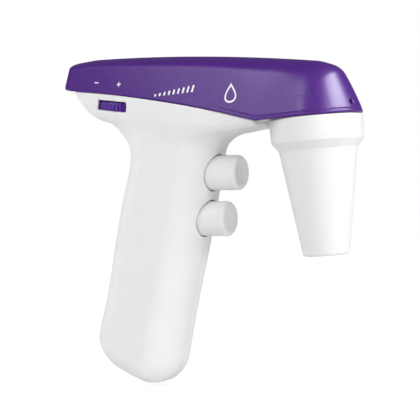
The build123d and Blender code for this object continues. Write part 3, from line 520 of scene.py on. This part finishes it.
# ---- turned pieces ------------------------------------------------------------------
def rounded(corners, steps=6):
    """Outline through corners (x, y, rounding), each turned into an arc."""
    out = []
    for i, (x, y, radius) in enumerate(corners):
        corner = np.array([x, y], float)
        before = unit(np.array(corners[i - 1][:2], float) - corner)
        after = unit(np.array(corners[(i + 1) % len(corners)][:2], float) - corner)
        if radius <= 0:
            out.append(corner)
            continue
        half = math.acos(np.clip(before @ after, -1, 1)) / 2
        centre = corner + unit(before + after) * radius / math.sin(half)
        start = corner + before * radius / math.tan(half) - centre
        end = corner + after * radius / math.tan(half) - centre
        for step in range(steps + 1):
            t = step / steps
            out.append(centre + radius * unit(start * (1 - t) + end * t))
    return out


def cross_axes(axis):
    """Two unit directions at right angles to an axis and to each other."""
    side = unit(np.cross([0, 1, 0], axis))
    return side, np.cross(axis, side)


def ring_object(name, rings, sharp=32):
    """Closed tube through rings of points; a ring of one point is a pole."""
    points, polygons, starts = [], [], []
    for ring in rings:
        starts.append(len(points))
        points.extend(ring)
    for k in range(len(rings)):
        here, there = rings[k], rings[(k + 1) % len(rings)]
        a, b = starts[k], starts[(k + 1) % len(rings)]
        n = max(len(here), len(there))
        if n == 1:
            continue
        for i in range(n):
            j = (i + 1) % n
            if len(here) == 1:
                polygons.append((a, b + i, b + j))
            elif len(there) == 1:
                polygons.append((a + i, b, a + j))
            else:
                polygons.append((a + i, b + i, b + j, a + j))
    mesh = polygon_mesh(name, points, polygons)
    mesh.shade_smooth()
    mesh.set_sharp_from_angle(angle=math.radians(sharp))
    return link(name, mesh)


def lathe(name, outline, origin, axis, segments=160):
    """Solid turned about an axis, from a closed outline (radius, height)."""
    side, across = cross_axes(axis)
    turns = np.arange(segments) * 2 * math.pi / segments
    round_points = np.cos(turns)[:, None] * side + np.sin(turns)[:, None] * across
    rings = []
    for radius, height in outline:
        centre = np.asarray(origin) + np.asarray(axis) * height
        rings.append([centre] if radius < 1e-6 else list(centre + radius * round_points))
    return ring_object(name, rings)


def stand_in(obj, node, body, finish=None):
    """The piece takes over from a CAD node, and keeps its body and its slot."""
    obj.data.materials.clear()
    obj.data.materials.append(materials[finish or slots[node]])
    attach(obj, body)
    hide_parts(node)


def make_nose_cone():
    """Hollow cone with a collar, from its outline (radius, height, rounding)."""
    low, high = node_box("adapter_housing")
    collar, top, tip = high[0], high[2], low[2]
    outline = rounded(
        [(18.3, top, 0.4), (collar, top, 0.7), (collar - 0.5, -10.9, 1.0)]
        + [(17.9, -14.6, 1.0), (10.6, tip, 1.3), (8.6, tip, 0.5)]
        + [(15.5, -17.0, 1.0), (18.3, -12.3, 0.6)]
    )
    return lathe("nose_cone_shell", outline, (0, 0, 0), (0, 0, 1), 224)


RIM_R = 8.3  # radius for which the rim's outline is drawn


def make_button(node):
    """Button with a dished end face, a soft rim, a flange and a sleeve."""
    face, radius, _ = faces[node]
    points = node_points(node)
    reach = (points - face) @ outward
    spread = np.linalg.norm(points - face - reach[:, None] * outward, axis=1)
    inner = reach.min()
    flange = reach[spread > radius + 0.9]
    flange_r = radius + FLANGE
    dish = [(0, -1.0), (1.2, -0.97), (2.4, -0.89), (3.6, -0.74), (4.7, -0.5), (5.5, -0.24)]
    rim = [(6.0, -0.08), (6.4, 0.0), (6.85, -0.06), (7.3, -0.25), (7.7, -0.56), (8.02, -1.0)]
    rim += [(8.22, -1.55), (RIM_R, -2.2)]
    outline = dish + [(r * radius / RIM_R, h) for r, h in rim]
    outline += [(radius, flange.max()), (flange_r, flange.max()), (flange_r, flange.min())]
    outline += [(6.8, flange.min()), (6.8, -3), (3.6, -3), (3.6, inner), (2.0, inner)]
    outline += [(2.0, inner + 6), (0, inner + 6)]
    return lathe(node + "_cap", outline, face, outward, 128)


def make_dial():
    """Thumbwheel with ribs round its rim and a dished top."""
    ribs, rib_deep, under, top = 50, 1.2, -2.28, 1.8
    turns = np.arange(ribs * 12) * 2 * math.pi / (ribs * 12)
    rib = rib_deep * (1 - np.abs(np.cos(turns * ribs / 2)) ** 1.5)
    side, across = dial_forward, np.cross(dial_axis, dial_forward)
    circle = np.cos(turns)[:, None] * side + np.sin(turns)[:, None] * across
    rings = []
    levels = [(0.5, under), (0.15, under + 0.14), (0, under + 0.45)]
    levels += [(0, top - 0.9), (0.35, top - 0.45), (0.9, top)]
    rings.append(list(dial_centre + dial_axis * under + 1.5 * circle))
    rings.append(list(dial_centre + dial_axis * under + (DIAL_R - 2.4) * circle))
    for inset, height in levels:
        share = 1 - 0.5 * inset
        reach = (DIAL_R - inset - rib * share)[:, None] * circle
        rings.append(list(dial_centre + dial_axis * height + reach))
    for inset, drop in [(2.4, 0), (3.2, 0.1), (3.4, 1.2), (DIAL_R - 4.5, 1.2), (DIAL_R - 4.4, 0)]:
        rings.append(list(dial_centre + dial_axis * (top - drop) + (DIAL_R - inset) * circle))
    rings.append(list(dial_centre + dial_axis * top + 1.5 * circle))
    return ring_object("speed_wheel_ribbed", rings)


# ---- printed marks ------------------------------------------------------------------
def printed(name, quads, lift=0.035, depth=0.25):
    """Thin mark lying on the right side of the cover, from quads of (x, z) points."""
    found, corners, faces_in = {}, [], []
    for quad in quads:
        face = []
        for x, z in quad:
            key = (round(x, 3), round(z, 3))
            if key not in found:
                found[key] = len(corners)
                corners.append(key)
            face.append(found[key])
        faces_in.append(face)
    count = len(corners)
    points = [(x, -wall_half(x, z) - lift, z) for x, z in corners]
    points += [(x, -wall_half(x, z) + depth, z) for x, z in corners]
    edges = {}
    for face in faces_in:
        for a, b in zip(face, face[1:] + face[:1]):
            edges.setdefault(frozenset((a, b)), []).append((a, b))
    polygons = list(faces_in) + [[i + count for i in reversed(face)] for face in faces_in]
    for pairs in edges.values():
        if len(pairs) == 1:
            a, b = pairs[0]
            polygons.append([b, a, a + count, b + count])
    return link(name, polygon_mesh(name, points, polygons))


def strip(start, end, half, pieces=6):
    """Quads of a straight bar between two points."""
    start, end = np.array(start, float), np.array(end, float)
    across = half * unit([-(end - start)[1], (end - start)[0]])
    stops = [start + (end - start) * i / pieces for i in range(pieces + 1)]
    return [(a - across, b - across, b + across, a + across) for a, b in zip(stops, stops[1:])]


def band(outer, inner):
    """Quads between two outlines of the same length, closed round."""
    n = len(outer)
    return [(outer[i], outer[(i + 1) % n], inner[(i + 1) % n], inner[i]) for i in range(n)]


def drop_outline(centre, size, count=48):
    """Plain drop shape: round below, drawn to a point above."""
    out = []
    for i in range(count):
        t = 2 * math.pi * i / count
        width = math.sin(t) * math.sin(t / 2) ** 1.4
        out.append((centre[0] + size * 0.92 * width, centre[1] + size * math.cos(t)))
    return out


def plus_quads(centre, arm, half):
    """Quads of a plus sign, whose bars meet in a shared middle one."""
    cx, cz = centre
    levels = [-arm, -half, half, arm]
    quads = []
    for i in range(3):
        for j in range(3):
            if i == 1 or j == 1:
                (x1, x2), (z1, z2) = levels[i : i + 2], levels[j : j + 2]
                corners = [(x1, z1), (x2, z1), (x2, z2), (x1, z2)]
                quads.append([(cx + u, cz + w) for u, w in corners])
    return quads


def scale_quads(start_x, low_z, bars=9, pitch=2.5):
    """Quads of a plain scale of slanted bars, growing towards the nose."""
    quads = []
    for i in range(bars):
        x, tall = start_x + pitch * i, 1.1 + 0.26 * i
        quads += strip((x, low_z), (x + 0.3 * tall, low_z + tall), 0.45, 3)
    return quads


def make_marks():
    """Minus and plus by the wheel, and a scale and a drop towards the nose."""
    marks = {
        "mark_minus": strip((-109.1, 27.3), (-106.8, 26.9), 0.27),
        "mark_plus": plus_quads((-94.7, 24.8), 1.15, 0.26),
        "mark_scale": scale_quads(-73.8, 16.7),
        "mark_drop": band(drop_outline((-33.3, 14.2), 4.6), drop_outline((-33.3, 13.9), 3.5)),
    }
    for name, quads in marks.items():
        piece = printed(name, quads)
        piece.data.materials.append(materials["print_white"])
        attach(piece, "controller_body")


# ---- materials ----------------------------------------------------------------------
def new_node(tree, kind, **inputs):
    """Shader node with some of its inputs set; an underscore stands for a space."""
    node = tree.nodes.new(kind)
    for key, value in inputs.items():
        node.inputs[key.replace("_", " ")].default_value = value
    return node


def grained(
    name, colour, roughness, metal=0.0, grain=0.05, scale=900, shift=0.04, speck=0.0, **more
):
    """Finish with a colour drift and specks, a moulded or brushed grain and uneven gloss."""
    made = bpy.data.materials.new(name)
    made.use_nodes = True
    tree = made.node_tree
    shader = tree.nodes["Principled BSDF"]
    place = tree.nodes.new("ShaderNodeTexCoord").outputs["Object"]

    def noise(frequency, detail):
        node = new_node(tree, "ShaderNodeTexNoise", Scale=frequency, Detail=detail)
        tree.links.new(place, node.inputs["Vector"])
        return node.outputs["Fac"]

    drift, fine = noise(35, 2.0), noise(scale, 2.0)
    tint = tree.nodes.new("ShaderNodeMix")
    tint.data_type = "RGBA"
    base = np.array(colour)
    tint.inputs["A"].default_value = (*(base * (1 - shift)), 1)
    tint.inputs["B"].default_value = (*np.minimum(base * (1 + shift), 1), 1)
    specks = new_node(tree, "ShaderNodeMapRange", To_Min=-speck / 2, To_Max=speck / 2)
    tree.links.new(fine, specks.inputs["Value"])
    total = tree.nodes.new("ShaderNodeMath")  # adds its two inputs
    tree.links.new(drift, total.inputs[0])
    tree.links.new(specks.outputs["Result"], total.inputs[1])
    tree.links.new(total.outputs["Value"], tint.inputs["Factor"])
    tree.links.new(tint.outputs["Result"], shader.inputs["Base Color"])
    gloss = new_node(
        tree, "ShaderNodeMapRange", To_Min=roughness * 0.85, To_Max=min(1, roughness * 1.15)
    )
    tree.links.new(noise(120, 4.0), gloss.inputs["Value"])
    tree.links.new(gloss.outputs["Result"], shader.inputs["Roughness"])
    bump = new_node(tree, "ShaderNodeBump", Strength=grain, Distance=0.0001)
    tree.links.new(fine, bump.inputs["Height"])
    tree.links.new(bump.outputs["Normal"], shader.inputs["Normal"])
    shader.inputs["Metallic"].default_value = metal
    for key, value in more.items():
        shader.inputs[key.replace("_", " ")].default_value = value
    return made


materials = {
    "white_plastic": grained(
        "white_plastic", (0.825, 0.825, 0.832), 0.45, grain=0.10, Specular_IOR_Level=0.12
    ),
    "nose_plastic": grained(
        "nose_plastic", (0.79, 0.79, 0.79), 0.38, grain=0.06, Specular_IOR_Level=0.3
    ),
    "purple_plastic": grained(
        "purple_plastic", (0.066, 0.0065, 0.208), 0.33, grain=0.3, shift=0.1, speck=5
    ),
    # the wheel's purple is a lighter copy of the cover's purple: painted light, so that its ribs look lit
    "wheel_purple_lit": grained("wheel_purple_lit", (0.10, 0.022, 0.30), 0.30, grain=0.1),
    "print_white": grained("print_white", (0.86, 0.86, 0.88), 0.5, grain=0.02),
    "screw_steel": grained("screw_steel", (0.55, 0.56, 0.57), 0.3, 1.0, 0.1),
    "spring_steel": grained("spring_steel", (0.6, 0.6, 0.62), 0.25, 1.0, 0.1),
    "grey_plastic": grained("grey_plastic", (0.35, 0.36, 0.38), 0.5),
    "filter_plastic": grained("filter_plastic", (0.78, 0.82, 0.86), 0.35),
    "membrane": grained("membrane", (0.85, 0.84, 0.8), 0.8, grain=0.3),
    "silicone": grained("silicone", (0.75, 0.72, 0.66), 0.45),
    "seal_rubber": grained("seal_rubber", (0.03, 0.03, 0.035), 0.6),
    "stem_steel": grained("stem_steel", (0.66, 0.66, 0.67), 0.2, 1.0, 0.08),
    "board_laminate": grained("board_laminate", (0.03, 0.16, 0.07), 0.45),
    "black_plastic": grained("black_plastic", (0.025, 0.025, 0.028), 0.5),
    "pump_plastic": grained("pump_plastic", (0.10, 0.11, 0.13), 0.5),
    "motor_metal": grained("motor_metal", (0.5, 0.5, 0.5), 0.35, 1.0, 0.1),
    "brass": grained("brass", (0.7, 0.5, 0.22), 0.3, 1.0, 0.08),
    "magnet": grained("magnet", (0.12, 0.12, 0.13), 0.5, 0.6),
    # the status lamp is nearly black: painted shade in the small round hole in the cover's nose
    "lamp": grained("lamp", (0.02, 0.02, 0.03), 0.3),
    "lead_jacket": grained("lead_jacket", (0.45, 0.05, 0.04), 0.5),
    "cell_sleeve": grained("cell_sleeve", (0.06, 0.16, 0.38), 0.4),
}

slots = {row["node"]: row["material_slot"] for row in frame["record"]["subparts"]}
for node, slot in slots.items():
    carried = frame["nodes"][node].data
    carried.materials.clear()
    carried.materials.append(materials[slot])

# ---- the object ---------------------------------------------------------------------
STEP = 0.62  # of the meshing grid

moulded = {
    "grip_shell_right": shell_field(RIGHT),
    "grip_shell_left": shell_field(LEFT),
    "top_cover": cover_field,
}
for node, field in moulded.items():
    stand_in(field_object(node + "_moulded", field, node, STEP), node, "controller_body")
stand_in(make_nose_cone(), "adapter_housing", "nose_cone")
for finger in ("aspirate", "dispense"):
    node = finger + "_button"
    stand_in(make_button(node), node, finger + "_trigger")
stand_in(make_dial(), "speed_wheel", "speed_dial", "wheel_purple_lit")
make_marks()

# ---- stage, light and camera --------------------------------------------------------
scene = bpy.context.scene
scene.view_settings.view_transform = "Standard"


def make_camera(azimuth, elevation, roll, lens, distance, shift):
    """Camera at angles in degrees, aimed past the nose seat; returns its backward direction."""
    azimuth, elevation, roll = (math.radians(angle) for angle in (azimuth, elevation, roll))
    level = np.array([math.cos(azimuth), math.sin(azimuth), 0.0])
    away = np.array([math.sin(azimuth), -math.cos(azimuth), 0.0])
    back = math.cos(elevation) * away + math.sin(elevation) * np.array([0.0, 0.0, 1.0])
    upright = unit(np.cross(level, -back))
    right = math.cos(roll) * level + math.sin(roll) * upright
    up = math.cos(roll) * upright - math.sin(roll) * level
    data = bpy.data.cameras.new("camera")
    data.lens = lens
    data.clip_start, data.clip_end = 0.01, 20
    camera = bpy.data.objects.new("camera", data)
    scene.collection.objects.link(camera)
    turn = Matrix([[right[i], up[i], back[i]] for i in range(3)]).to_4x4()
    place = in_frame(distance * back + shift[0] * right + shift[1] * up)
    camera.matrix_world = Matrix.Translation(Vector(place)) @ turn
    scene.camera = camera
    return back


def make_floor(height):
    """Pale floor at a height in millimetres from the nose seat."""
    bpy.ops.mesh.primitive_plane_add(size=8, location=in_frame((0, 0, height)))
    floor = bpy.context.object
    floor.name = "floor"
    paper = grained(
        "floor_pale", (0.75, 0.75, 0.75), 1.0, grain=0.02, shift=0.004, Specular_IOR_Level=0.0
    )
    tree = paper.node_tree
    shader = tree.nodes["Principled BSDF"]
    shader.inputs["Emission Color"].default_value = (1, 1, 1, 1)
    # the floor looks lit from within, but sends little of that light up to the object
    glow = new_node(tree, "ShaderNodeMapRange", To_Min=0.06, To_Max=0.6)
    seen_ray = tree.nodes.new("ShaderNodeLightPath").outputs["Is Camera Ray"]
    tree.links.new(seen_ray, glow.inputs["Value"])
    tree.links.new(glow.outputs["Result"], shader.inputs["Emission Strength"])
    floor.data.materials.append(paper)


def studio_world(back):
    """White to the camera; for light, bright on the camera's side and dim behind."""
    world = bpy.data.worlds.new("studio")
    scene.world = world
    world.use_nodes = True
    tree = world.node_tree
    links = tree.links
    out = tree.nodes["World Output"]
    seen = tree.nodes["Background"]
    seen.inputs["Color"].default_value = (1, 1, 1, 1)
    seen.inputs["Strength"].default_value = 1.0
    lit = tree.nodes.new("ShaderNodeBackground")
    place = tree.nodes.new("ShaderNodeTexCoord")
    toward = tree.nodes.new("ShaderNodeVectorMath")
    toward.operation = "DOT_PRODUCT"
    toward.inputs[1].default_value = (back[0], back[1], 0.25)
    links.new(place.outputs["Generated"], toward.inputs[0])
    ramp = new_node(
        tree, "ShaderNodeMapRange", From_Min=-0.35, From_Max=0.75, To_Min=0.36, To_Max=0.98
    )
    ramp.interpolation_type = "SMOOTHSTEP"
    links.new(toward.outputs["Value"], ramp.inputs["Value"])
    rays = tree.nodes.new("ShaderNodeLightPath")
    # reflections of the walls are kept dim, so that the softboxes stand out
    flag = new_node(tree, "ShaderNodeMapRange", To_Min=1.0, To_Max=0.45)
    links.new(rays.outputs["Is Glossy Ray"], flag.inputs["Value"])
    dimmed = tree.nodes.new("ShaderNodeMath")
    dimmed.operation = "MULTIPLY"
    links.new(ramp.outputs["Result"], dimmed.inputs[0])
    links.new(flag.outputs["Result"], dimmed.inputs[1])
    links.new(dimmed.outputs["Value"], lit.inputs["Strength"])
    pick = tree.nodes.new("ShaderNodeMixShader")
    links.new(rays.outputs["Is Camera Ray"], pick.inputs["Fac"])
    links.new(lit.outputs["Background"], pick.inputs[1])
    links.new(seen.outputs["Background"], pick.inputs[2])
    links.new(pick.outputs["Shader"], out.inputs["Surface"])


def softbox(name, direction, distance, size, energy, lights=True, shines=True):
    """Soft light aimed at the object; it can only light it, or only shine back from it."""
    aim = in_frame((-45, 0, -20))
    data = bpy.data.lights.new(name, "AREA")
    data.shape = "RECTANGLE"
    data.size, data.size_y = size
    data.energy = energy
    light = bpy.data.objects.new(name, data)
    scene.collection.objects.link(light)
    light.location = Vector(aim) + Vector(unit(direction)) * distance
    light.rotation_euler = (-Vector(direction)).to_track_quat("-Z", "Y").to_euler()
    light.visible_diffuse, light.visible_glossy = lights, shines


make_floor(-123.5)
studio_world(make_camera(30.02, 0.82, -4.59, 111.43, 590.0, (-48.0, -42.2)))
softbox("nose_box", (0.852, 0.022, 0.522), 0.9, (0.3, 0.34), 2.6, shines=False)
softbox("left_box", (-0.325, -0.73, 0.60), 1.0, (0.24, 0.7), 1.6, shines=False)
softbox("right_box", (0.60, -0.78, -0.10), 1.2, (0.6, 0.45), 3.3, shines=False)
softbox("rear_box", (-0.98, -0.12, 0.15), 1.2, (0.6, 0.6), 4.2, shines=False)
softbox("front_box", (0.99, -0.10, -0.089), 0.9, (0.4, 0.05), 2.1, shines=False)
softbox("nose_sheen", (0.80, 0.10, 0.588), 0.9, (0.6, 0.44), 12.0, lights=False)
softbox("rib_sheen", (0.814, -0.47, 0.342), 1.0, (0.3, 0.2), 3.0, lights=False)
softbox("band_sheen", (-0.208, -0.726, 0.656), 1.0, (0.14, 0.5), 1.6, lights=False)
softbox("side_sheen", (-0.395, -0.657, 0.643), 1.0, (0.24, 0.55), 0.8, lights=False)
